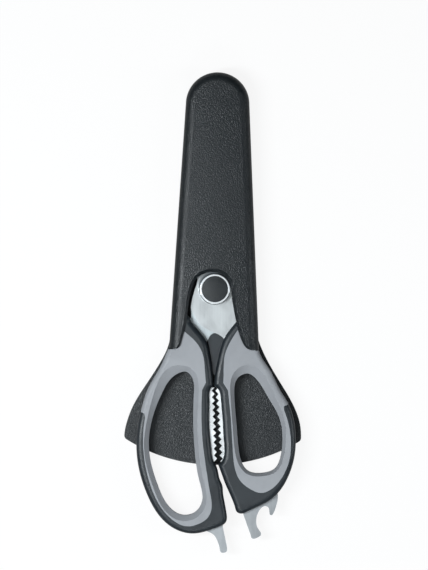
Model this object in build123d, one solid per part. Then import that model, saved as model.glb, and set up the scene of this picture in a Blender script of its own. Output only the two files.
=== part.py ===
from build123d import *
import math
import os

# Kitchen shears stored in their holder, in millimetres. The holder lies on its back at z = 0.
# The pivot axis is the Z axis, the blades point along +Y, and the handles reach along -Y.

# Holder
holder_reach = 116.9
holder_end_width = 34.3
holder_mouth_width = 48.5
leg_reach = 32.4
holder_depth = 17.0
cover_wall = 1.7
cover_round = 5.2
plate_thickness = 2.2
plate_edge_round = 0.5
guard_width = 95.8
guard_reach = 95.3
guard_corner_reach = 81.4
guard_corner_round = 2.6
flare_start = 27.0
arch_reach = 9.1
arch_width = 26.0
arch_slope_width = 1.8
arch_land = 0.3
cover_crown = 0.8

# Fastening and magnets of the holder
boss_radius = 2.6
boss_bite = 0.6
boss_reaches = [16.0, 88.0]
screw_radius = 1.2
screw_length = 12.0
screw_head_radius = 2.4
screw_head_height = 1.3
screw_head_sink = 0.1
screw_slot_width = 0.6
screw_slot_depth = 0.7
screw_fit = 0.15
tongue_height = 1.5
tongue_width = 1.1
tongue_fit = 0.15
magnet_radius = 5.0
magnet_height = 2.6
magnet_pitch = 20.0
magnet_count = 3
magnet_floor = 1.0
magnet_row_reach = 34.0
magnet_border = 2.0
magnet_cover_thickness = 0.4

# Shears
handle_spread = 85.8
handle_length = 131.5
handle_round = 2.6
loop_flare_width = 2.6
loop_flare_depth = 3.2
blade_reach = 104.0
blade_half_width = 9.6
blade_thickness = 2.0
blade_gap = 0.1
bevel_width = 3.2
edge_thickness = 0.4
tang_cover = 2.0
web_thickness = 4.0
web_width = 3.0
web_depth = 2.2
jaw_thickness = 5.0
tooth_pitch = 3.5
tooth_depth = 1.6
tool_thickness = 2.4

# Pivot
bolt_radius = 3.0
bolt_head_radius = 7.0
bolt_head_height = 1.8
thrust_washer_radius = 6.5
thrust_washer_thickness = 0.5
spring_washer_radius = 6.2
spring_washer_thickness = 0.4
spring_washer_dish = 0.3
bezel_radius = 8.2
bezel_rim = 1.1
bezel_sink = 0.8
bezel_recess = 1.3
bezel_edge_round = 0.4
cap_rise = 0.3
cap_dome = 0.3

# Clearances
handle_clearance = 0.4
running_fit = 0.05
thread_fit = 0.03
overrun = 1.0

# Heights that follow from the holder and the clearances
handle_bottom = plate_thickness + handle_clearance
handle_top = holder_depth - cover_wall - handle_clearance
mid_height = (handle_bottom + handle_top) / 2
rear_blade_bottom = mid_height - blade_gap / 2 - blade_thickness
front_blade_bottom = mid_height + blade_gap / 2
front_blade_top = front_blade_bottom + blade_thickness
magnet_bed_top = magnet_floor + magnet_height

# Outlines of the handles: shares of handle_spread across, of handle_length down from the pivot
left_rim_shares = [(-0.147, 0.134), (-0.094, 0.174), (-0.047, 0.217), (-0.031, 0.255), (-0.017, 0.304),
                   (-0.006, 0.357), (-0.003, 0.398)]
left_window_shares = [(-0.003, 0.398), (-0.017, 0.41), (-0.024, 0.424), (-0.024, 0.456), (-0.023, 0.532),
                      (-0.015, 0.608), (-0.006, 0.655), (0, 0.688), (0.014, 0.714)]
left_gap_shares = [(0.014, 0.714), (0.035, 0.745), (0.049, 0.782), (0.066, 0.808), (0.070, 0.833),
                   (0.080, 0.871), (0.097, 0.930)]
left_heel_shares = [(0.097, 0.930), (0.091, 0.954), (0.058, 0.970)]
left_outer_shares = [(0.058, 0.970), (-0.023, 0.991), (-0.115, 1.003), (-0.217, 0.989), (-0.326, 0.934),
                     (-0.400, 0.855), (-0.449, 0.770), (-0.476, 0.677), (-0.474, 0.578), (-0.450, 0.494),
                     (-0.404, 0.402), (-0.340, 0.327), (-0.297, 0.262), (-0.268, 0.205), (-0.249, 0.137)]
left_top_shares = [(-0.249, 0.137), (-0.227, 0.103), (-0.189, 0.103), (-0.147, 0.134)]
left_hole_shares = [(-0.190, 0.340), (-0.258, 0.363), (-0.321, 0.427), (-0.374, 0.517), (-0.401, 0.624),
                    (-0.387, 0.716), (-0.340, 0.811), (-0.280, 0.887), (-0.186, 0.929), (-0.098, 0.914),
                    (-0.059, 0.864), (-0.080, 0.786), (-0.111, 0.669), (-0.124, 0.548), (-0.122, 0.426),
                    (-0.138, 0.360)]
left_flare_shares = [1.3, 2.0, 1.6, 1.05, 0.95, 0.95, 0.95, 1.05, 1.1, 1.0, 0.9, 0.9, 0.9, 0.9, 1.0, 1.1]
left_grip_inner_shares = [(-0.232, 0.144), (-0.186, 0.176), (-0.121, 0.213), (-0.075, 0.259),
                          (-0.057, 0.320), (-0.048, 0.383)]
left_grip_loop_shares = [(-0.071, 0.414), (-0.073, 0.498), (-0.063, 0.625), (-0.035, 0.748),
                         (-0.012, 0.833), (0.000, 0.884), (-0.021, 0.933), (-0.082, 0.962),
                         (-0.157, 0.972), (-0.245, 0.946), (-0.329, 0.885), (-0.390, 0.798),
                         (-0.427, 0.696), (-0.436, 0.608), (-0.425, 0.529)]
left_grip_outside_shares = [(-0.431, 0.513), (-0.536, 0.487), (-0.536, 0.144)]

right_rim_shares = [(0.147, 0.126), (0.100, 0.163), (0.063, 0.201), (0.037, 0.251), (0.020, 0.304),
                    (0.007, 0.357), (0.006, 0.397)]
right_window_shares = [(0.006, 0.397), (0.036, 0.417), (0.047, 0.456), (0.059, 0.532), (0.067, 0.608),
                       (0.072, 0.677), (0.058, 0.706), (0.035, 0.716)]
right_gap_shares = [(0.035, 0.716), (0.054, 0.747), (0.082, 0.795), (0.119, 0.847), (0.147, 0.893)]
right_heel_shares = [(0.147, 0.893), (0.163, 0.914), (0.198, 0.918)]
right_outer_shares = [(0.198, 0.918), (0.288, 0.890), (0.378, 0.855), (0.439, 0.812), (0.483, 0.757),
                      (0.513, 0.692), (0.523, 0.622), (0.512, 0.541), (0.474, 0.467), (0.418, 0.408),
                      (0.351, 0.325), (0.296, 0.271), (0.270, 0.213), (0.252, 0.137)]
right_top_shares = [(0.252, 0.137), (0.231, 0.099), (0.191, 0.096), (0.147, 0.126)]
right_hole_shares = [(0.199, 0.345), (0.143, 0.372), (0.132, 0.425), (0.149, 0.554), (0.163, 0.648),
                     (0.181, 0.702), (0.224, 0.743), (0.317, 0.752), (0.396, 0.732), (0.431, 0.677),
                     (0.439, 0.601), (0.415, 0.52), (0.35, 0.446), (0.28, 0.374), (0.242, 0.351)]
right_flare_shares = [1.75, 1.15, 0.85, 0.85, 0.85, 0.75, 0.6, 0.55, 0.55, 0.6, 0.7, 1.0, 1.4, 1.75, 1.85]
right_grip_inner_shares = [(0.203, 0.129), (0.148, 0.167), (0.100, 0.218), (0.072, 0.262),
                           (0.063, 0.327), (0.062, 0.383)]
right_grip_loop_shares = [(0.092, 0.414), (0.105, 0.483), (0.119, 0.578), (0.131, 0.684), (0.145, 0.738),
                          (0.178, 0.783), (0.239, 0.815), (0.308, 0.831), (0.373, 0.815), (0.437, 0.768),
                          (0.478, 0.707), (0.491, 0.624), (0.477, 0.555), (0.445, 0.491)]
right_grip_outside_shares = [(0.443, 0.475), (0.571, 0.441), (0.571, 0.129)]

# Tangs, from the cutting edge's heel down into the handle and back up to the spine
left_tang_shares = [(-0.128, 0.008), (-0.140, 0.038), (-0.149, 0.076), (-0.150, 0.122), (-0.193, 0.167),
                    (-0.207, 0.236), (-0.181, 0.293), (-0.122, 0.304), (-0.077, 0.266), (-0.042, 0.212),
                    (-0.026, 0.196), (0.000, 0.185), (0.058, 0.144), (0.096, 0.084), (0.104, 0.030)]
right_tang_shares = [(0.104, 0.016), (0.115, 0.062), (0.127, 0.095), (0.142, 0.132), (0.184, 0.160),
                     (0.205, 0.228), (0.189, 0.285), (0.142, 0.300), (0.105, 0.270), (0.065, 0.205),
                     (0.036, 0.189), (-0.027, 0.171), (-0.098, 0.141), (-0.135, 0.100), (-0.146, 0.087),
                     (-0.143, 0.049), (-0.131, 0.015), (-0.115, -0.016)]

# Ledge of the right core that fills the gap below the tangs
ledge_shares = [(0.090, 0.215), (0.058, 0.198), (0.030, 0.186), (0.000, 0.181), (-0.022, 0.189),
                (-0.033, 0.200), (-0.038, 0.213), (-0.033, 0.228), (-0.026, 0.255), (-0.012, 0.304),
                (0.002, 0.350), (0.040, 0.360), (0.080, 0.290)]

# Nutcracker jaws: tooth tips and buried backs, at the upper and lower end of the window
jaw_top_share = 0.404
jaw_bottom_share = 0.708
left_tip_shares = [0.006, 0.030]
right_tip_shares = [0.012, 0.050]
left_back_shares = [-0.052, -0.034]
right_back_shares = [0.070, 0.107]

# Steel tools at the ends of the handles
left_screwdriver_shares = [(0.007, 0.924), (-0.012, 0.96), (-0.034, 0.99), (0.004, 1.003), (0.031, 1.022),
                           (0.047, 1.046), (0.0565, 1.071), (0.0605, 1.0785), (0.07, 1.0815), (0.09, 1.08),
                           (0.099, 1.0755), (0.1015, 1.067), (0.093, 1.036), (0.082, 1.004), (0.073, 0.968),
                           (0.065, 0.932)]
right_opener_shares = [(0.207, 0.882), (0.197, 0.912), (0.214, 0.947), (0.234, 0.983), (0.249, 1.01),
                       (0.256, 1.02), (0.267, 1.0225), (0.295, 1.0155), (0.309, 1.0095), (0.3135, 1.002),
                       (0.304, 0.99), (0.287, 0.972), (0.282, 0.953), (0.283, 0.935), (0.294, 0.914),
                       (0.311, 0.897), (0.333, 0.888), (0.353, 0.891), (0.362, 0.901), (0.3645, 0.914),
                       (0.369, 0.923), (0.378, 0.9245), (0.387, 0.919), (0.399, 0.902), (0.409, 0.88),
                       (0.416, 0.846), (0.405, 0.818), (0.355, 0.848), (0.286, 0.871)]

# Blade above the pivot: shares of blade_half_width across and of blade_reach up
spine_shares = [(0.98, 0.05), (1.00, 0.22), (0.88, 0.45), (0.57, 0.72), (0.20, 0.94), (0.00, 1.00)]
heel_share = (0.92, 0.11)

# Flare of the guard on each side: shares from the holder's side to the guard's edge, and down to its corner
flare_left_shares = [(0.055, 0.10), (0.235, 0.26), (0.43, 0.40), (0.665, 0.56), (0.855, 0.72), (0.948, 0.84),
                     (0.995, 0.94)]
flare_right_shares = [(0.09, 0.10), (0.28, 0.26), (0.475, 0.40), (0.705, 0.56), (0.89, 0.72), (0.975, 0.84),
                      (1.0, 0.94)]

# Arch of the front cover, wider on the left: shares of half arch_width across, and from arch_reach
# down to the leg ends
arch_right_shares = [(0.0, 0.0), (0.277, 0.018), (0.508, 0.075), (0.646, 0.157), (0.673, 0.219),
                     (0.723, 0.335), (0.79, 0.472), (0.877, 0.602), (0.96, 0.723), (1.05, 0.812),
                     (1.17, 0.901), (1.30, 0.964), (1.52, 1.0)]
arch_left_shares = [(0.0, 0.0), (0.29, 0.005), (0.56, 0.036), (0.785, 0.096), (0.87, 0.142), (0.96, 0.219),
                    (1.06, 0.361), (1.10, 0.472), (1.14, 0.586), (1.22, 0.747), (1.355, 0.908),
                    (1.43, 0.971), (1.58, 1.0)]


def handle_points(shares):
    return [(across * handle_spread, -down * handle_length) for across, down in shares]


def outline_face(curves):
    return make_face(Wire([Spline(*points) for points in curves]))


def ring_face(shares):
    return make_face(Wire([Spline(*handle_points(shares), periodic=True)]))


def evenly_widened_face(points, distance):
    return widened_face(points, [distance for point in points])


def widened_face(points, distances):
    # A smooth closed outline through the points, each moved out square to its neighbours' line
    doubled_area = sum(a[0] * b[1] - b[0] * a[1] for a, b in zip(points, points[1:] + points[:1]))
    way = math.copysign(1, doubled_area)
    moved = []
    for index, ((x, y), distance) in enumerate(zip(points, distances)):
        before = points[index - 1]
        after = points[(index + 1) % len(points)]
        step = way * distance / math.dist(before, after)
        moved.append((x + step * (after[1] - before[1]), y - step * (after[0] - before[0])))
    return make_face(Wire([Spline(*moved, periodic=True)]))


def slab(face, bottom, top):
    return Pos(0, 0, bottom) * extrude(face, amount=top - bottom)


def disc(radius, bottom, top):
    return Pos(0, 0, bottom) * Cylinder(radius, top - bottom, align=(Align.CENTER, Align.CENTER, Align.MIN))


def holder_half_width(reach):
    end_start = holder_reach - holder_end_width / 2
    slope = (holder_mouth_width - holder_end_width) / 2 / (end_start + leg_reach)
    return holder_end_width / 2 + (end_start - reach) * slope


def holder_face(inset, reach_down):
    # The plan of the holder, drawn in by inset, from reach_down below the pivot to the closed end
    end_start = holder_reach - holder_end_width / 2
    end_half = holder_end_width / 2 - inset
    foot_half = holder_half_width(-reach_down) - inset
    left_side = Line((-foot_half, -reach_down), (-end_half, end_start))
    end = ThreePointArc((-end_half, end_start), (0, holder_reach - inset), (end_half, end_start))
    right_side = Line((end_half, end_start), (foot_half, -reach_down))
    foot = Line((foot_half, -reach_down), (-foot_half, -reach_down))
    return make_face(Wire([left_side, end, right_side, foot]))


def boss_places():
    places = []
    for reach in boss_reaches:
        across = holder_half_width(reach) - cover_wall - boss_radius + boss_bite
        places.append((-across, reach))
        places.append((across, reach))
    return places


def rounded_slab(face, bottom, top, radius, foot):
    # A slab whose front edge is rounded, but not along the open foot of the holder
    return front_rounded(slab(face, bottom, top), radius, foot)


def front_rounded(block, radius, foot):
    front_edges = block.faces().sort_by(Axis.Z)[-1].edges()
    kept = [edge for edge in front_edges if edge.center().Y > -foot + overrun]
    return fillet(kept, radius)


def crowned_slab(face, bottom, top, crown):
    # A slab whose front is a shallow arch across the holder, highest on the middle line
    half = holder_mouth_width / 2
    radius = (half * half + crown * crown) / (crown + crown)
    length = holder_reach + leg_reach + overrun
    drum = Pos(0, holder_reach, top - radius) * Rot(90, 0, 0) * Cylinder(
        radius, length, align=(Align.CENTER, Align.CENTER, Align.MIN))
    return slab(face, bottom, top) & drum


def arch_face(widening):
    # The arch's opening, its edge moved into the cover by widening
    half = arch_width / 2
    drop = arch_reach + leg_reach
    left = [(-across * half, arch_reach - down * drop) for across, down in arch_left_shares]
    right = [(across * half, arch_reach - down * drop) for across, down in arch_right_shares]
    points = left[::-1] + right[1:]
    moved = [(points[0][0] - widening, points[0][1])]
    for before, (x, y), after in zip(points, points[1:], points[2:]):
        step = widening / math.dist(before, after)
        moved.append((x - step * (after[1] - before[1]), y + step * (after[0] - before[0])))
    moved.append((points[-1][0] + widening, points[-1][1]))
    side = holder_mouth_width
    low = -leg_reach - overrun
    border = Polyline(moved[-1], (side, -leg_reach), (side, low), (-side, low), (-side, -leg_reach), moved[0])
    return make_face(Wire([Spline(*moved)] + border.edges()))


def make_front_cover():
    outer = crowned_slab(holder_face(0, leg_reach), plate_thickness, holder_depth, cover_crown)
    outer = front_rounded(outer, cover_round, leg_reach)
    inner_face = holder_face(cover_wall, leg_reach + overrun)
    inner_round = cover_round - cover_wall
    cavity = rounded_slab(inner_face, plate_thickness - overrun, holder_depth - cover_wall, inner_round,
                          leg_reach + overrun)
    cover = outer - cavity
    land_top = holder_depth - cover_wall + arch_land
    well = slab(arch_face(0), holder_depth - cover_wall - cover_round, holder_depth + overrun)
    slope = loft([Pos(0, 0, land_top) * arch_face(0), Pos(0, 0, holder_depth) * arch_face(arch_slope_width)],
                 ruled=True)
    inside = slab(inner_face, plate_thickness, holder_depth + overrun)
    cover = cover - (well & inside) - (slope & inside)
    for x, y in boss_places():
        boss = Pos(x, y, 0) * disc(boss_radius, plate_thickness, holder_depth - cover_wall)
        pilot_radius = screw_radius + thread_fit
        pilot = Pos(x, y, 0) * disc(pilot_radius, plate_thickness - overrun, screw_length + overrun)
        cover = cover + (boss & outer) - pilot
    return cover


def guard_face():
    # The back plate: the holder's plan above flare_start, then the wide guard
    half = guard_width / 2
    side = holder_half_width(-flare_start)
    drop = guard_corner_reach - flare_start
    sides = []
    for way, shares in ((-1, flare_left_shares), (1, flare_right_shares)):
        points = [(side + across * (half - side), flare_start + down * drop) for across, down in shares]
        points = [(side, flare_start)] + points + [(half, guard_corner_reach)]
        sides.append([(way * x, -y) for x, y in points])
    left, right = sides
    upper = holder_face(0, flare_start)
    lower_edges = [
        Line(left[0], right[0]),
        Spline(*right),
        ThreePointArc(right[-1], (0, -guard_reach), left[-1]),
        Spline(*left),
    ]
    lower = make_face(Wire(lower_edges))
    corners = [corner for corner in lower.vertices() if abs(corner.Y + guard_corner_reach) < plate_edge_round]
    return upper + fillet(corners, guard_corner_round)


def magnet_places():
    return [(0, magnet_row_reach + index * magnet_pitch) for index in range(magnet_count)]


def magnet_bed_face(border):
    # A round-ended strip over the row of magnets
    row = (magnet_count - 1) * magnet_pitch
    half = magnet_radius + border
    middle = magnet_row_reach + row / 2
    return Pos(0, middle) * (Rectangle(half + half, row) + Pos(0, row / 2) * Circle(half)
                             + Pos(0, -row / 2) * Circle(half))


def make_back_plate():
    plate = slab(guard_face(), 0, plate_thickness)
    back_edges = plate.faces().sort_by(Axis.Z)[0].edges()
    plate = fillet(back_edges, plate_edge_round)
    fit = cover_wall + tongue_fit
    tongue = slab(holder_face(fit, 0) - holder_face(fit + tongue_width, -tongue_width), plate_thickness,
                  plate_thickness + tongue_height)
    for x, y in boss_places():
        tongue -= Pos(x, y, 0) * disc(boss_radius + tongue_fit, 0, holder_depth)
    plate += tongue
    plate += slab(magnet_bed_face(magnet_border), plate_thickness, magnet_bed_top)
    for x, y in magnet_places():
        plate -= Pos(x, y, 0) * disc(magnet_radius, magnet_floor, holder_depth)
    for x, y in boss_places():
        plate -= Pos(x, y, 0) * screw_shape(screw_fit, 0)
    return plate


def make_magnets():
    return Compound(children=[Pos(x, y, 0) * disc(magnet_radius, magnet_floor, magnet_bed_top)
                              for x, y in magnet_places()])


def make_magnet_cover():
    return slab(magnet_bed_face(magnet_border), magnet_bed_top, magnet_bed_top + magnet_cover_thickness)


def screw_shape(fit, sink):
    head = Pos(0, 0, sink) * Cone(screw_head_radius + fit, screw_radius + fit, screw_head_height,
                                  align=(Align.CENTER, Align.CENTER, Align.MIN))
    return head + disc(screw_radius + fit, sink, screw_length)


def make_screws():
    slot_length = screw_head_radius * math.sqrt(2)
    slot = Box(slot_length, screw_slot_width, screw_slot_depth, align=(Align.CENTER, Align.CENTER, Align.MIN))
    cross = Pos(0, 0, screw_head_sink) * (slot + Rot(0, 0, 90) * slot)
    screw = screw_shape(0, screw_head_sink) - cross
    return Compound(children=[Pos(x, y, 0) * screw for x, y in boss_places()])


def blade_face(side, tang_shares):
    # side is -1 for a spine on the left and a cutting edge on the right, and 1 for the mirrored blade
    spine = [(side * across * blade_half_width, up * blade_reach) for across, up in spine_shares]
    heel = (-side * heel_share[0] * blade_half_width, heel_share[1] * blade_reach)
    tang = [heel] + handle_points(tang_shares) + [spine[0]]
    return make_face(Wire([Spline(*spine), Line(spine[-1], heel), Spline(*tang)]))


def bevel_cut(side, outer_z, inward):
    # The ground face beside the cutting edge: a wedge that runs from the heel to the tip
    heel = Vector(-side * heel_share[0] * blade_half_width, heel_share[1] * blade_reach, 0)
    tip = Vector(0, blade_reach, 0)
    along = (tip - heel).normalized()
    into = Vector(side * along.Y, -side * along.X, 0)
    start = heel - along * overrun
    plane = Plane(origin=(start.X, start.Y, outer_z), x_dir=into, z_dir=along)
    height = -1 if plane.y_dir.Z * inward < 0 else 1
    depth = height * (blade_thickness - edge_thickness)
    back = -height * overrun
    wedge = Polyline((bevel_width, 0), (0, depth), (-overrun, depth), (-overrun, back), (bevel_width, back),
                     close=True)
    length = (tip - heel).length + overrun + overrun
    return extrude(plane * make_face(wedge), amount=length, dir=along)


def make_blade(side, tang_shares, bottom, outer_z, inward):
    blade = slab(blade_face(side, tang_shares), bottom, bottom + blade_thickness)
    blade -= disc(bolt_radius + running_fit, bottom - overrun, bottom + blade_thickness + overrun)
    return blade - bevel_cut(side, outer_z, inward)


def mouth_keepout():
    # The holder's walls at its mouth with the handles' clearance on both faces
    low = leg_reach + handle_clearance
    wall = slab(holder_face(-handle_clearance, low), 0, holder_depth)
    inside = holder_face(cover_wall + handle_clearance, low + overrun)
    return wall - rounded_slab(inside, -overrun, handle_top, cover_round - cover_wall, low + overrun)


def loop_flare(hole_shares, flare_round, narrow_z, wide_z):
    # A funnel from the loop's own outline at narrow_z to a wider one at wide_z
    hole = handle_points(hole_shares)
    wide = widened_face(hole, [share * loop_flare_width for share in flare_round])
    return loft([Pos(0, 0, narrow_z) * ring_face(hole_shares), Pos(0, 0, wide_z) * wide], ruled=True)


def handle_form(curves, hole_shares, flare_round):
    # The whole handle, core and grip together: rounded outside, with slopes down into the finger loop
    block = slab(outline_face([handle_points(shares) for shares in curves]), handle_bottom, handle_top)
    rims = block.faces().sort_by(Axis.Z)[-1].edges() + block.faces().sort_by(Axis.Z)[0].edges()
    form = fillet(rims, handle_round)
    form -= slab(ring_face(hole_shares), handle_bottom - overrun, handle_top + overrun)
    form -= loop_flare(hole_shares, flare_round, handle_top - loop_flare_depth, handle_top)
    form -= loop_flare(hole_shares, flare_round, handle_bottom + loop_flare_depth, handle_bottom)
    return form - mouth_keepout()


def grip_zone(inner_shares, loop_shares, outside_shares):
    inner = handle_points(inner_shares)
    loop = handle_points(loop_shares)
    outside = handle_points(outside_shares)
    border = [Line(inner[-1], loop[0])] + Polyline(loop[-1], *outside, inner[0]).edges()
    face = make_face(Wire([Spline(*inner), Spline(*loop)] + border))
    return slab(face, 0, holder_depth)


def handle_web(form, hole_shares, tang_shares):
    # The hard core under the grip: a ring round the finger loop and a block round the tang
    hole = handle_points(hole_shares)
    ring = evenly_widened_face(hole, web_depth + web_width) - evenly_widened_face(hole, web_depth)
    web = slab(ring, mid_height - web_thickness / 2, mid_height + web_thickness / 2)
    block_half = blade_gap / 2 + blade_thickness + tang_cover
    block_face = evenly_widened_face(handle_points(tang_shares), tang_cover)
    block = slab(block_face, mid_height - block_half, mid_height + block_half)
    return (web + block) & form


def jaw_face(tip_shares, back_shares, phase):
    # A toothed strip from the upper to the lower end of the window
    top = -jaw_top_share * handle_length
    bottom = -jaw_bottom_share * handle_length
    half_steps = round((top - bottom) / (tooth_pitch / 2))
    half_pitch = (top - bottom) / half_steps
    tip_top, tip_bottom = [share * handle_spread for share in tip_shares]
    back_top, back_bottom = [share * handle_spread for share in back_shares]
    bite = tooth_depth if tip_top > back_top else -tooth_depth
    points = [(back_bottom, bottom), (back_top, top)]
    for step in range(half_steps + 1):
        along = step / half_steps
        tip = tip_top + (tip_bottom - tip_top) * along
        valley = (step + phase) % 2 == 0
        points.append((tip - bite if valley else tip, top - step * half_pitch))
    return make_face(Polyline(*points, close=True))


def make_half(curves, hole_shares, flare_round, grip_tables, tang_shares, side, blade_bottom, outer_z, inward,
              jaw, tool):
    # One half of the shears: its blade, core, grip, jaw and end tool
    form = handle_form(curves, hole_shares, flare_round)
    zone = grip_zone(*grip_tables)
    web = handle_web(form, hole_shares, tang_shares)
    blade = make_blade(side, tang_shares, blade_bottom, outer_z, inward)
    jaw_solid = slab(jaw, mid_height - jaw_thickness / 2, mid_height + jaw_thickness / 2)
    tool_solid = slab(tool, mid_height - tool_thickness / 2, mid_height + tool_thickness / 2)
    grip = (form & zone) - web
    core = (form - zone) + web
    for steel in (blade, jaw_solid, tool_solid):
        core -= steel
        grip -= steel
    return blade, core, grip, jaw_solid, tool_solid


def make_ledge():
    # A shelf just clear of the rear blade, flush with the front one
    bottom = front_blade_bottom + handle_clearance
    return slab(ring_face(ledge_shares), bottom, front_blade_top - running_fit) - mouth_keepout()


def make_bolt():
    head_top = rear_blade_bottom - running_fit - thrust_washer_thickness
    head = disc(bolt_head_radius, head_top - bolt_head_height, head_top)
    head = fillet(head.faces().sort_by(Axis.Z)[0].edges(), bolt_head_height / 2)
    return head + disc(bolt_radius, head_top - bolt_head_height / 2, bezel_floor)


def make_thrust_washer():
    top = rear_blade_bottom - running_fit
    bottom = top - thrust_washer_thickness
    hole = disc(bolt_radius + thread_fit, bottom - overrun, top + overrun)
    return disc(thrust_washer_radius, bottom, top) - hole


def make_spring_washer():
    inner = bolt_radius + running_fit
    low = front_blade_top + running_fit
    rise = spring_washer_dish
    section = Polyline((inner, low + rise), (spring_washer_radius, low),
                       (spring_washer_radius, low + spring_washer_thickness),
                       (inner, low + rise + spring_washer_thickness), close=True)
    return revolve(Plane.XZ * make_face(section), Axis.Z)


bezel_bottom = front_blade_top + running_fit + spring_washer_dish + spring_washer_thickness
bezel_top = holder_depth - bezel_sink
bezel_floor = bezel_top - bezel_recess


def make_bezel():
    ring = disc(bezel_radius, bezel_bottom, bezel_top)
    ring -= disc(bezel_radius - bezel_rim, bezel_floor, bezel_top + overrun)
    ring -= disc(bolt_radius + thread_fit, bezel_bottom - overrun, bezel_top)
    front_edges = [edge for edge in ring.edges().filter_by(GeomType.CIRCLE)
                   if edge.radius > bezel_radius - thread_fit and edge.center().Z > bezel_floor]
    return fillet(front_edges, bezel_edge_round)


def make_cap():
    # A disc in the bezel's recess, its front slightly crowned
    radius = bezel_radius - bezel_rim - thread_fit
    crown = bezel_top + cap_rise
    crown_radius = (radius * radius + cap_dome * cap_dome) / (cap_dome + cap_dome)
    return disc(radius, bezel_floor, crown) & Pos(0, 0, crown - crown_radius) * Sphere(crown_radius)


os.makedirs("parts", exist_ok=True)

left_curves = [left_rim_shares, left_window_shares, left_gap_shares, left_heel_shares, left_outer_shares,
               left_top_shares]
right_curves = [right_rim_shares, right_window_shares, right_gap_shares, right_heel_shares,
                right_outer_shares, right_top_shares]
left_grip_tables = (left_grip_inner_shares, left_grip_loop_shares, left_grip_outside_shares)
right_grip_tables = (right_grip_inner_shares, right_grip_loop_shares, right_grip_outside_shares)
left_tool_face = ring_face(left_screwdriver_shares)
right_tool_face = ring_face(right_opener_shares)
left_jaw_face = jaw_face(left_tip_shares, left_back_shares, 1)
right_jaw_face = jaw_face(right_tip_shares, right_back_shares, 0)

left_half = make_half(left_curves, left_hole_shares, left_flare_shares, left_grip_tables, left_tang_shares, 1,
                      rear_blade_bottom, rear_blade_bottom, 1, left_jaw_face, left_tool_face)
right_half = make_half(right_curves, right_hole_shares, right_flare_shares, right_grip_tables, right_tang_shares,
                       -1, front_blade_bottom, front_blade_top, -1, right_jaw_face, right_tool_face)

blade, core, grip, jaw, tool = right_half
right_half = (blade, core + (make_ledge() - blade - grip), grip, jaw, tool)

pieces = {
    "sheath_front_cover": make_front_cover(),
    "sheath_back_plate": make_back_plate(),
    "sheath_screws": make_screws(),
    "holder_magnets": make_magnets(),
    "magnet_cover": make_magnet_cover(),
    "pivot_bolt": make_bolt(),
    "pivot_thrust_washer": make_thrust_washer(),
    "pivot_spring_washer": make_spring_washer(),
    "pivot_bezel": make_bezel(),
    "pivot_cap": make_cap(),
    "left_blade": left_half[0],
    "left_handle_core": left_half[1],
    "left_handle_grip": left_half[2],
    "left_nutcracker_jaw": left_half[3],
    "left_screwdriver_tip": left_half[4],
    "right_blade": right_half[0],
    "right_handle_core": right_half[1],
    "right_handle_grip": right_half[2],
    "right_nutcracker_jaw": right_half[3],
    "right_opener_tool": right_half[4],
}

for name, shape in pieces.items():
    export_step(shape, f"parts/{name}.step")
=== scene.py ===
"""Kitchen shears in their holder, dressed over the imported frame, in metres, +Z up."""
import math

import bpy
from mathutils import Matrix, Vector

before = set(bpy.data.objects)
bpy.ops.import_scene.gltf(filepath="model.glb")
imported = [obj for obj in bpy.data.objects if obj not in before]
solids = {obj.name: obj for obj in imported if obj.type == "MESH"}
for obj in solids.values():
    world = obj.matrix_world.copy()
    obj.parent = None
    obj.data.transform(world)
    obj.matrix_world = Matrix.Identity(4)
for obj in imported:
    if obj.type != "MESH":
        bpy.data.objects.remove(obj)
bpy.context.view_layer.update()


# Camera. The shears are looked at from straight above, from far off, and the holder leans a little
# to the right in the picture. The frame is 428 by 570 pixels of 0.54 mm.
pixel = 0.00054
picture_rows = 570
lens_mm = 200
far_clip = 20
camera_lean = math.radians(0.853)
camera_centre = (-0.0005, 0.00221)
subject_height = 0.009
camera_data = bpy.data.cameras.new("camera")
camera_data.lens = lens_mm
camera_data.clip_end = far_clip
camera_distance = picture_rows * pixel * lens_mm / camera_data.sensor_width
camera = bpy.data.objects.new("camera", camera_data)
camera.location = (*camera_centre, subject_height + camera_distance)
camera.rotation_euler = (0, 0, camera_lean)
bpy.context.scene.collection.objects.link(camera)
bpy.context.scene.camera = camera
bpy.context.scene.view_settings.view_transform = "Standard"


# Studio. A light tent that is brightest a little left of overhead, a strip lamp on the left for the
# ridge along the holder, a soft fill, and weak lamps at the foot and on the right. The camera sees
# a white backdrop and a white table that keeps the shadow.
def place(tree, kind, inputs=None, **settings):
    """A new node in tree with its settings, and its inputs set or linked."""
    node = tree.nodes.new(kind)
    for name, value in settings.items():
        setattr(node, name, value)
    for name, value in (inputs or {}).items():
        if isinstance(value, bpy.types.NodeSocket):
            tree.links.new(value, node.inputs[name])
        else:
            node.inputs[name].default_value = value
    return node


def tone(red, green, blue):
    """A colour written as the screen shows it, 0 to 255, as the linear values that the nodes take."""
    parts = [part / 255 for part in (red, green, blue)]
    return (*[p / 12.92 if p <= 0.04045 else ((p + 0.055) / 1.055) ** 2.4 for p in parts], 1)


def blend_colour(tree, share, low_colour, high_colour):
    """low_colour where share is 0 and high_colour where it is 1."""
    mix = place(tree, "ShaderNodeMix", {0: share, 6: low_colour, 7: high_colour}, data_type="RGBA")
    return mix.outputs[2]


white = (1, 1, 1, 1)
cool_white = (0.945, 1.0, 1.035)
tent_axis = (-0.36, 0.0, 0.933)
tent_levels = [(0.0, 0.02), (0.5, 0.09), (0.75, 0.19), (0.9, 0.35), (1.0, 0.62)]


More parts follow.
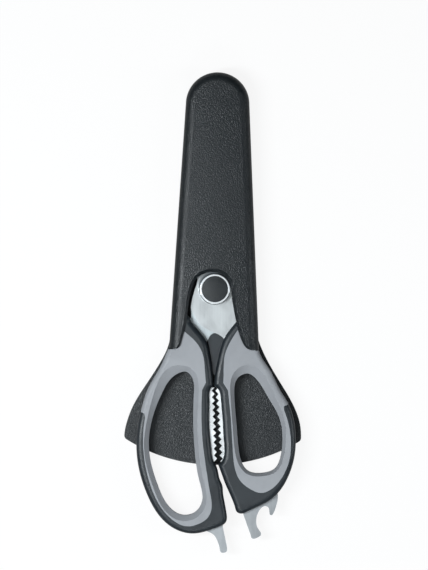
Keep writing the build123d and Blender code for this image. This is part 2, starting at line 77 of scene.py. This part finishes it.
def tent_cloth(tree):
    """The light of the tent, with tent_levels as (cosine of the angle from tent_axis, level)."""
    way = place(tree, "ShaderNodeTexCoord")
    cosine = place(tree, "ShaderNodeVectorMath", {0: way.outputs["Generated"], 1: tent_axis},
                   operation="DOT_PRODUCT")
    ramp = place(tree, "ShaderNodeValToRGB", {"Fac": cosine.outputs["Value"]})
    stops = ramp.color_ramp.elements
    while len(stops) < len(tent_levels):
        stops.new(1)
    for stop, (where, level) in zip(stops, tent_levels):
        stop.position = where
        stop.color = (*[level * part for part in cool_white], 1)
    return ramp.outputs["Color"]


world = bpy.data.worlds.new("studio")
bpy.context.scene.world = world
world.use_nodes = True
sky = world.node_tree
sky.nodes.clear()
sky_ray = place(sky, "ShaderNodeLightPath")
backdrop = blend_colour(sky, sky_ray.outputs["Is Camera Ray"], tent_cloth(sky), white)
sky_light = place(sky, "ShaderNodeBackground", {"Color": backdrop, "Strength": 1.0})
place(sky, "ShaderNodeOutputWorld", {"Surface": sky_light.outputs["Background"]})


def softbox(name, stands_at, aim, size, watts):
    """A soft rectangular lamp, with its size as (width, length), that looks at aim."""
    lamp = bpy.data.lights.new(name, "AREA")
    lamp.shape = "RECTANGLE"
    lamp.size, lamp.size_y = size
    lamp.energy = watts
    lamp.color = cool_white
    stand = bpy.data.objects.new(name, lamp)
    stand.location = stands_at
    way = Vector(aim) - Vector(stands_at)
    stand.rotation_euler = way.to_track_quat("-Z", "Y").to_euler()
    bpy.context.scene.collection.objects.link(stand)


softbox("ridge_softbox", stands_at=(-0.32, -0.05, 0.575), aim=(-0.01, -0.02, 0),
        size=(0.075, 0.34), watts=2.75)
softbox("fill_softbox", stands_at=(-0.20, -0.24, 0.85), aim=(-0.01, -0.04, 0),
        size=(0.30, 0.36), watts=0.35)
softbox("foot_softbox", stands_at=(0.0, -0.46, 0.50), aim=(0, -0.01, 0),
        size=(0.16, 0.16), watts=0.6)
softbox("far_softbox", stands_at=(0.56, -0.05, 0.42), aim=(0.01, -0.02, 0),
        size=(0.14, 0.40), watts=0.9)

table_half = 3.0
lit_table = tone(150, 150, 150)
camera_glow = 0.88
mirrored_glow = 0.3
table_corners = [(-table_half, -table_half, 0), (table_half, -table_half, 0),
                 (table_half, table_half, 0), (-table_half, table_half, 0)]
floor_mesh = bpy.data.meshes.new("table_top")
floor_mesh.from_pydata(table_corners, [], [(0, 1, 2, 3)])
floor = bpy.data.objects.new("table_top", floor_mesh)
bpy.context.scene.collection.objects.link(floor)
floor_paint = bpy.data.materials.new("table_top")
floor_paint.use_nodes = True
top = floor_paint.node_tree
top.nodes.clear()
ray = place(top, "ShaderNodeLightPath")
table_colour = blend_colour(top, ray.outputs["Is Camera Ray"], lit_table, white)
lit = place(top, "ShaderNodeBsdfDiffuse", {"Color": table_colour})
glow = place(top, "ShaderNodeEmission", {"Color": white, "Strength": 1.0})
mirrored = place(top, "ShaderNodeMath",
                 {0: ray.outputs["Is Glossy Ray"], 1: ray.outputs["Is Transmission Ray"]},
                 operation="MAXIMUM")
mirrored_share = place(top, "ShaderNodeMath", {0: mirrored.outputs[0], 1: mirrored_glow},
                       operation="MULTIPLY")
glow_share = place(top, "ShaderNodeMath",
                   {0: ray.outputs["Is Camera Ray"], 1: camera_glow, 2: mirrored_share.outputs[0]},
                   operation="MULTIPLY_ADD")
surface = place(top, "ShaderNodeMixShader",
                {"Fac": glow_share.outputs[0], 1: lit.outputs["BSDF"], 2: glow.outputs["Emission"]})
place(top, "ShaderNodeOutputMaterial", {"Surface": surface.outputs["Shader"]})
floor_mesh.materials.append(floor_paint)


# Back plate. One flat moulding in black polypropylene that flares behind the handles, and carries the
# magnets, the strip over them and the front cover. Its skin has the fine pebble grain of the mould.
def effect_group(name, inputs, outputs):
    """An empty shader group with its named sockets: the group, its input node and its output node."""
    group = bpy.data.node_groups.new(name, "ShaderNodeTree")
    for label, start in inputs.items():
        kind = "NodeSocketVector" if isinstance(start, tuple) else "NodeSocketFloat"
        group.interface.new_socket(label, in_out="INPUT", socket_type=kind).default_value = start
    for label in outputs:
        group.interface.new_socket(label, in_out="OUTPUT", socket_type="NodeSocketFloat")
    return group, group.nodes.new("NodeGroupInput"), group.nodes.new("NodeGroupOutput")


def place_at_rest(tree):
    """Where a point of a piece lies at rest, in metres from the frame's origin."""
    return place(tree, "ShaderNodeTexCoord").outputs["Object"]


def per_metre(tree, size):
    """How often something of this size in metres fits in a metre."""
    return place(tree, "ShaderNodeMath", {0: 1.0, 1: size}, operation="DIVIDE").outputs[0]


def pebble_grain_group():
    """Height of an irregular pebbled skin: rounded cells, their creases and a finer tooth on them."""
    drift_scale = 0.7
    drift_reach = (0.9, 0.9, 0.9)
    crease_width = 0.22
    tooth_scale = 3.5
    tooth_height = 0.45
    group, given, result = effect_group("pebble_grain", {"Cell": 0.001}, ["Height"])
    in_cells = place(group, "ShaderNodeVectorMath",
                     {0: place_at_rest(group), "Scale": per_metre(group, given.outputs["Cell"])},
                     operation="SCALE")
    drift = place(group, "ShaderNodeTexNoise",
                  {"Vector": in_cells.outputs[0], "Scale": drift_scale, "Detail": 1.0})
    warped = place(group, "ShaderNodeVectorMath",
                   {0: drift.outputs["Color"], 1: drift_reach, 2: in_cells.outputs[0]},
                   operation="MULTIPLY_ADD")
    cells = place(group, "ShaderNodeTexVoronoi", {"Vector": warped.outputs[0], "Scale": 1.0},
                  feature="DISTANCE_TO_EDGE")
    rounded = place(group, "ShaderNodeMapRange",
                    {"Value": cells.outputs["Distance"], "From Max": crease_width},
                    interpolation_type="SMOOTHSTEP")
    tooth = place(group, "ShaderNodeTexNoise",
                  {"Vector": in_cells.outputs[0], "Scale": tooth_scale, "Detail": 2.0})
    height = place(group, "ShaderNodeMath",
                   {0: tooth.outputs["Fac"], 1: tooth_height, 2: rounded.outputs[0]},
                   operation="MULTIPLY_ADD")
    group.links.new(height.outputs[0], result.inputs["Height"])
    return group


def handling_marks_group():
    """Slow blotches from hands and wiping, 0 where the surface is clean and 1 where it is dulled."""
    clean_below = 0.35
    dull_above = 0.68
    group, given, result = effect_group("handling_marks", {"Patch": 0.03}, ["Dulled"])
    blotch = place(group, "ShaderNodeTexNoise",
                   {"Vector": place_at_rest(group), "Scale": per_metre(group, given.outputs["Patch"]),
                    "Detail": 5.0, "Roughness": 0.62, "Distortion": 0.4})
    dulled = place(group, "ShaderNodeMapRange",
                   {"Value": blotch.outputs["Fac"], "From Min": clean_below, "From Max": dull_above},
                   interpolation_type="SMOOTHSTEP")
    group.links.new(dulled.outputs[0], result.inputs["Dulled"])
    return group


def rubbed_edge_group():
    """How far a point lies on an edge that use has rubbed, broken up so that it looks worn by hand."""
    bevel_samples = 6
    flat_cosine = 0.985
    edge_cosine = 0.86
    unworn_below = 0.35
    worn_above = 0.6
    group, given, result = effect_group("rubbed_edge", {"Width": 0.0005, "Break": 0.004}, ["Rubbed"])
    softened = place(group, "ShaderNodeBevel", {"Radius": given.outputs["Width"]},
                     samples=bevel_samples)
    plain_way = place(group, "ShaderNodeNewGeometry")
    agreement = place(group, "ShaderNodeVectorMath",
                      {0: softened.outputs["Normal"], 1: plain_way.outputs["Normal"]},
                      operation="DOT_PRODUCT")
    edge = place(group, "ShaderNodeMapRange",
                 {"Value": agreement.outputs["Value"], "From Min": flat_cosine, "From Max": edge_cosine},
                 interpolation_type="SMOOTHSTEP")
    gaps = place(group, "ShaderNodeTexNoise",
                 {"Vector": place_at_rest(group), "Scale": per_metre(group, given.outputs["Break"]),
                  "Detail": 3.0})
    kept = place(group, "ShaderNodeMapRange",
                 {"Value": gaps.outputs["Fac"], "From Min": unworn_below, "From Max": worn_above})
    rubbed = place(group, "ShaderNodeMath", {0: edge.outputs[0], 1: kept.outputs[0]},
                   operation="MULTIPLY")
    group.links.new(rubbed.outputs[0], result.inputs["Rubbed"])
    return group


pebble_grain = pebble_grain_group()
handling_marks = handling_marks_group()
rubbed_edge = rubbed_edge_group()


def new_finish(name, metallic=0.0):
    """A new material with its node tree and its shader."""
    material = bpy.data.materials.new(name)
    material.use_nodes = True
    shader = material.node_tree.nodes["Principled BSDF"]
    shader.inputs["Metallic"].default_value = metallic
    return material, material.node_tree, shader


def add_group(tree, group, **inputs):
    """The outputs of a group that is placed in tree with its inputs set."""
    return place(tree, "ShaderNodeGroup", inputs, node_tree=group).outputs


def colour_skin(tree, shader, colour, dulled, clean, dull):
    """The shader's colour, and its roughness from clean, where dulled is 0, to dull, where it is 1."""
    roughness = place(tree, "ShaderNodeMapRange", {"Value": dulled, "To Min": clean, "To Max": dull})
    tree.links.new(colour, shader.inputs["Base Color"])
    tree.links.new(roughness.outputs["Result"], shader.inputs["Roughness"])


def raise_skin(tree, shader, height, depth, strength):
    """A bump of the given depth in metres, on the shader's normal."""
    bump = place(tree, "ShaderNodeBump", {"Height": height, "Distance": depth, "Strength": strength})
    tree.links.new(bump.outputs["Normal"], shader.inputs["Normal"])


def dress(material, *names):
    """Gives the named solids one material."""
    for name in names:
        mesh = solids[name].data
        for index in range(len(mesh.materials)):
            mesh.materials[index] = material


def holder_plastic(name, cell):
    """Black polypropylene as moulded: pebbled and satin, with painted shade in the grain's creases,
    greyed on the edges.
    """
    material, tree, shader = new_finish(name)
    grain = add_group(tree, pebble_grain, Cell=cell)
    marks = add_group(tree, handling_marks, Patch=0.035)
    rub = add_group(tree, rubbed_edge, Width=0.0006, Break=0.003)
    # The grain's creases are painted darker, as shade in them.
    skin = blend_colour(tree, grain["Height"], tone(11, 16, 19), tone(18, 25, 29))
    skin = blend_colour(tree, rub["Rubbed"], skin, tone(52, 58, 61))
    colour_skin(tree, shader, skin, marks["Dulled"], clean=0.32, dull=0.42)
    raise_skin(tree, shader, grain["Height"], depth=0.0001, strength=0.55)
    return material


dress(holder_plastic("plate_plastic", cell=0.0009), "sheath_back_plate")


# Magnets. Three nickel-plated discs pressed into the plate's pockets, and the thin grey strip that
# is welded over them. They are out of sight in the holder and hold it to a steel door or rail.
magnet_nickel, nickel_tree, nickel = new_finish("magnet_nickel", metallic=1.0)
nickel_marks = add_group(nickel_tree, handling_marks, Patch=0.004)
nickel_rub = add_group(nickel_tree, rubbed_edge, Width=0.0003, Break=0.001)
plating = blend_colour(nickel_tree, nickel_marks["Dulled"], tone(186, 184, 176), tone(164, 163, 158))
plating = blend_colour(nickel_tree, nickel_rub["Rubbed"], plating, tone(206, 204, 198))
colour_skin(nickel_tree, nickel, plating, nickel_marks["Dulled"], clean=0.18, dull=0.36)
raise_skin(nickel_tree, nickel, nickel_marks["Dulled"], depth=0.00001, strength=0.3)
dress(magnet_nickel, "holder_magnets")

strip_plastic, strip_tree, strip = new_finish("strip_plastic")
strip_grain = add_group(strip_tree, pebble_grain, Cell=0.0006)
strip_marks = add_group(strip_tree, handling_marks, Patch=0.012)
strip_skin = blend_colour(strip_tree, strip_marks["Dulled"], tone(58, 61, 63), tone(68, 70, 71))
colour_skin(strip_tree, strip, strip_skin, strip_marks["Dulled"], clean=0.5, dull=0.66)
raise_skin(strip_tree, strip, strip_grain["Height"], depth=0.00004, strength=0.4)
dress(strip_plastic, "magnet_cover")


# Front cover. The box over the blades, moulded in the same black polypropylene with a slightly
# coarser grain. It is closed at the far end, and its bosses take the screws from the back.
dress(holder_plastic("cover_plastic", cell=0.0011), "sheath_front_cover")


# Screws. Four small countersunk screws in zinc-plated steel, driven from the back into the cover's
# bosses. The plating is grey-blue, with duller patches and paler edges.
screw_zinc, zinc_tree, zinc = new_finish("screw_zinc", metallic=1.0)
zinc_marks = add_group(zinc_tree, handling_marks, Patch=0.0016)
zinc_rub = add_group(zinc_tree, rubbed_edge, Width=0.00015, Break=0.0006)
zinc_skin = blend_colour(zinc_tree, zinc_marks["Dulled"], tone(158, 163, 168), tone(132, 137, 143))
zinc_skin = blend_colour(zinc_tree, zinc_rub["Rubbed"], zinc_skin, tone(190, 193, 196))
colour_skin(zinc_tree, zinc, zinc_skin, zinc_marks["Dulled"], clean=0.28, dull=0.46)
raise_skin(zinc_tree, zinc, zinc_marks["Dulled"], depth=0.00001, strength=0.4)
dress(screw_zinc, "sheath_screws")


# Pivot shaft. A shoulder bolt from the back, a thin thrust washer under its head and a dished spring
# washer behind the bezel, all turned or stamped from stainless steel, with the lathe's fine rings.
def out_from_pivot(tree):
    """The part of a point's place that lies across the pivot's axis, as a vector."""
    across_axis = (1, 1, 0)
    flat = place(tree, "ShaderNodeVectorMath", {0: place_at_rest(tree), 1: across_axis},
                 operation="MULTIPLY")
    return flat.outputs[0]


def length_of(tree, vector):
    """The length of a vector."""
    return place(tree, "ShaderNodeVectorMath", {0: vector}, operation="LENGTH").outputs["Value"]


def turned_rings_group():
    """Height of the lathe's fine rings round the pivot's axis."""
    group, given, result = effect_group("turned_rings", {"Pitch": 0.00012}, ["Height"])
    radius = length_of(group, out_from_pivot(group))
    turns = place(group, "ShaderNodeMath", {0: radius, 1: given.outputs["Pitch"]}, operation="DIVIDE")
    rings = place(group, "ShaderNodeTexNoise", {"W": turns.outputs[0], "Scale": 1.0, "Detail": 1.0},
                  noise_dimensions="1D")
    group.links.new(rings.outputs["Fac"], result.inputs["Height"])
    return group


turned_rings = turned_rings_group()
shaft_steel, shaft_tree, shaft = new_finish("shaft_steel", metallic=1.0)
shaft_rings = add_group(shaft_tree, turned_rings, Pitch=0.00018)
shaft_marks = add_group(shaft_tree, handling_marks, Patch=0.004)
shaft_rub = add_group(shaft_tree, rubbed_edge, Width=0.0002, Break=0.001)
shaft_skin = blend_colour(shaft_tree, shaft_rings["Height"], tone(158, 162, 166), tone(186, 189, 192))
shaft_skin = blend_colour(shaft_tree, shaft_rub["Rubbed"], shaft_skin, tone(208, 210, 212))
colour_skin(shaft_tree, shaft, shaft_skin, shaft_marks["Dulled"], clean=0.24, dull=0.4)
raise_skin(shaft_tree, shaft, shaft_rings["Height"], depth=0.00002, strength=0.4)
dress(shaft_steel, "pivot_bolt", "pivot_thrust_washer", "pivot_spring_washer")


# Blades. Two stamped and ground stainless blades with their tangs, brushed along their length. The
# front one is finished bright, with a painted dark line of oil and shade round the bezel, widened by
# painted shadow on the tips' side; the rear one is rougher and painted a little darker as shade.
def brushed_lines_group():
    """Fine lines of a brushing belt. Stretch gives the lines' frequency along each axis, per metre."""
    band_scale = 0.16
    group, given, result = effect_group("brushed_lines", {"Stretch": (6000.0, 60.0, 60.0)},
                                        ["Height", "Streak"])
    stretched = place(group, "ShaderNodeVectorMath",
                      {0: place_at_rest(group), 1: given.outputs["Stretch"]}, operation="MULTIPLY")
    lines = place(group, "ShaderNodeTexNoise",
                  {"Vector": stretched.outputs[0], "Scale": 1.0, "Detail": 3.0})
    bands = place(group, "ShaderNodeTexNoise",
                  {"Vector": stretched.outputs[0], "Scale": band_scale, "Detail": 2.0})
    group.links.new(lines.outputs["Fac"], result.inputs["Height"])
    group.links.new(bands.outputs["Fac"], result.inputs["Streak"])
    return group


def pivot_oil_and_shade_group():
    """A dark line round the bezel, 1 at its rim: a thin line of oil and painted shade all round, widened
    on the side of the blades' tips by a crescent of painted shadow from the cover's arch.
    """
    group, given, result = effect_group(
        "pivot_oil_and_shade", {"Rim": 0.0081, "Line": 0.0006, "ShadeCrescent": 0.0034}, ["Oiled"])
    outward = out_from_pivot(group)
    way = place(group, "ShaderNodeVectorMath", {0: outward}, operation="NORMALIZE")
    way_parts = place(group, "ShaderNodeSeparateXYZ", {"Vector": way.outputs[0]})
    tipward = place(group, "ShaderNodeMath", {0: way_parts.outputs["Y"], 1: 0.0}, operation="MAXIMUM")
    width = place(group, "ShaderNodeMath",
                  {0: tipward.outputs[0], 1: given.outputs["ShadeCrescent"], 2: given.outputs["Line"]},
                  operation="MULTIPLY_ADD")
    past_rim = place(group, "ShaderNodeMath",
                     {0: length_of(group, outward), 1: given.outputs["Rim"]}, operation="SUBTRACT")
    share = place(group, "ShaderNodeMath", {0: past_rim.outputs[0], 1: width.outputs[0]},
                  operation="DIVIDE")
    oil_and_shade = place(group, "ShaderNodeMapRange", {"Value": share.outputs[0], "To Min": 1.0, "To Max": 0.0},
                  interpolation_type="SMOOTHSTEP")
    group.links.new(oil_and_shade.outputs[0], result.inputs["Oiled"])
    return group


brushed_lines = brushed_lines_group()
pivot_oil_and_shade = pivot_oil_and_shade_group()


def brushed_steel(name, stretch, dark, light, worn, clean, dull, oil_and_shade=None):
    """Ground stainless steel: brushed lines in colour and bump, dulled patches, bright rubbed edges."""
    material, tree, shader = new_finish(name, metallic=1.0)
    lines = add_group(tree, brushed_lines, Stretch=stretch)
    marks = add_group(tree, handling_marks, Patch=0.012)
    rub = add_group(tree, rubbed_edge, Width=0.00025, Break=0.002)
    skin = blend_colour(tree, lines["Streak"], dark, light)
    skin = blend_colour(tree, rub["Rubbed"], skin, worn)
    # An optional dark line round the bezel: oil and painted shade, with painted shadow of the cover's
    # arch on the tips' side.
    if oil_and_shade:
        skin = blend_colour(tree, add_group(tree, pivot_oil_and_shade)["Oiled"], skin, oil_and_shade)
    colour_skin(tree, shader, skin, marks["Dulled"], clean, dull)
    raise_skin(tree, shader, lines["Height"], depth=0.000012, strength=0.35)
    return material


along_blade = (5200.0, 70.0, 400.0)
# The front blade gets the dark line round the bezel, part oil and part painted shadow of the cover's
# arch.
front_blade_steel = brushed_steel(
    "front_blade_steel", along_blade, dark=tone(180, 183, 184), light=tone(198, 201, 201),
    worn=tone(236, 239, 240), clean=0.3, dull=0.42, oil_and_shade=tone(62, 68, 72))
# The rear blade's colours and rubbed edges are a little darker than the front blade's as painted shade.
rear_blade_shaded_steel = brushed_steel(
    "rear_blade_shaded_steel", along_blade, dark=tone(170, 178, 180), light=tone(194, 201, 203),
    worn=tone(196, 202, 204), clean=0.38, dull=0.5)
dress(front_blade_steel, "right_blade")
dress(rear_blade_shaded_steel, "left_blade")


# Handle cores. The hard black frame of each handle, moulded round its tang in glass-filled nylon. It
# shows as the rims between the handles, the inner wall of the window and the heels with the tools.
core_plastic, core_tree, core = new_finish("core_plastic")
core_grain = add_group(core_tree, pebble_grain, Cell=0.0005)
core_marks = add_group(core_tree, handling_marks, Patch=0.02)
core_rub = add_group(core_tree, rubbed_edge, Width=0.0005, Break=0.002)
core_skin = blend_colour(core_tree, core_marks["Dulled"], tone(28, 34, 39), tone(36, 43, 48))
core_skin = blend_colour(core_tree, core_rub["Rubbed"], core_skin, tone(84, 90, 95))
colour_skin(core_tree, core, core_skin, core_marks["Dulled"], clean=0.3, dull=0.44)
raise_skin(core_tree, core, core_grain["Height"], depth=0.00003, strength=0.35)
dress(core_plastic, "left_handle_core", "right_handle_core")


# Grips. Grey soft rubber, moulded over the cores round both finger loops. It is matt, with a fine
# tooth, a little darker where hands have dulled it and paler along the edges.
grip_rubber, grip_tree, grip = new_finish("grip_rubber")
grip_grain = add_group(grip_tree, pebble_grain, Cell=0.0006)
grip_marks = add_group(grip_tree, handling_marks, Patch=0.025)
grip_rub = add_group(grip_tree, rubbed_edge, Width=0.0005, Break=0.003)
grip_skin = blend_colour(grip_tree, grip_marks["Dulled"], tone(163, 165, 169), tone(155, 157, 161))
grip_skin = blend_colour(grip_tree, grip_rub["Rubbed"], grip_skin, tone(184, 190, 195))
colour_skin(grip_tree, grip, grip_skin, grip_marks["Dulled"], clean=0.5, dull=0.68)
raise_skin(grip_tree, grip, grip_grain["Height"], depth=0.00004, strength=0.4)
dress(grip_rubber, "left_handle_grip", "right_handle_grip")


# Nutcracker jaws. Two toothed strips of cast stainless steel, set face to face in the handles'
# window. They are tumbled bright.
across_jaw = (300.0, 2600.0, 300.0)
jaw_steel = brushed_steel(
    "jaw_steel", across_jaw, dark=tone(226, 229, 230), light=tone(246, 247, 247),
    worn=tone(244, 246, 246), clean=0.26, dull=0.38)
dress(jaw_steel, "left_nutcracker_jaw", "right_nutcracker_jaw")


# End tools. The flat screwdriver tip and the bottle opener, stamped from stainless strip and held
# in the heels of the handles, brushed along the strip.
along_strip = (3600.0, 90.0, 400.0)
tool_steel = brushed_steel(
    "tool_steel", along_strip, dark=tone(152, 155, 158), light=tone(180, 183, 185),
    worn=tone(228, 231, 233), clean=0.32, dull=0.44)
dress(tool_steel, "left_screwdriver_tip", "right_opener_tool")


# Pivot bezel. The bright ring round the pivot, turned from stainless steel and left satin. It is
# screwed on the bolt.
bezel_steel, bezel_tree, bezel = new_finish("bezel_steel", metallic=1.0)
bezel_rings = add_group(bezel_tree, turned_rings, Pitch=0.0001)
bezel_marks = add_group(bezel_tree, handling_marks, Patch=0.003)
bezel_skin = blend_colour(bezel_tree, bezel_marks["Dulled"], tone(240, 242, 243), tone(226, 229, 231))
colour_skin(bezel_tree, bezel, bezel_skin, bezel_marks["Dulled"], clean=0.28, dull=0.38)
raise_skin(bezel_tree, bezel, bezel_rings["Height"], depth=0.000006, strength=0.3)
dress(bezel_steel, "pivot_bezel")


# Pivot cap. A charcoal disc moulded in hard plastic, slightly crowned and left bare. It is pressed
# into the recess of the bezel.
cap_plastic, cap_tree, cap = new_finish("cap_plastic")
cap_grain = add_group(cap_tree, pebble_grain, Cell=0.0005)
cap_marks = add_group(cap_tree, handling_marks, Patch=0.006)
cap_skin = blend_colour(cap_tree, cap_marks["Dulled"], tone(16, 22, 26), tone(20, 27, 31))
colour_skin(cap_tree, cap, cap_skin, cap_marks["Dulled"], clean=0.36, dull=0.48)
raise_skin(cap_tree, cap, cap_grain["Height"], depth=0.00003, strength=0.4)
dress(cap_plastic, "pivot_cap")
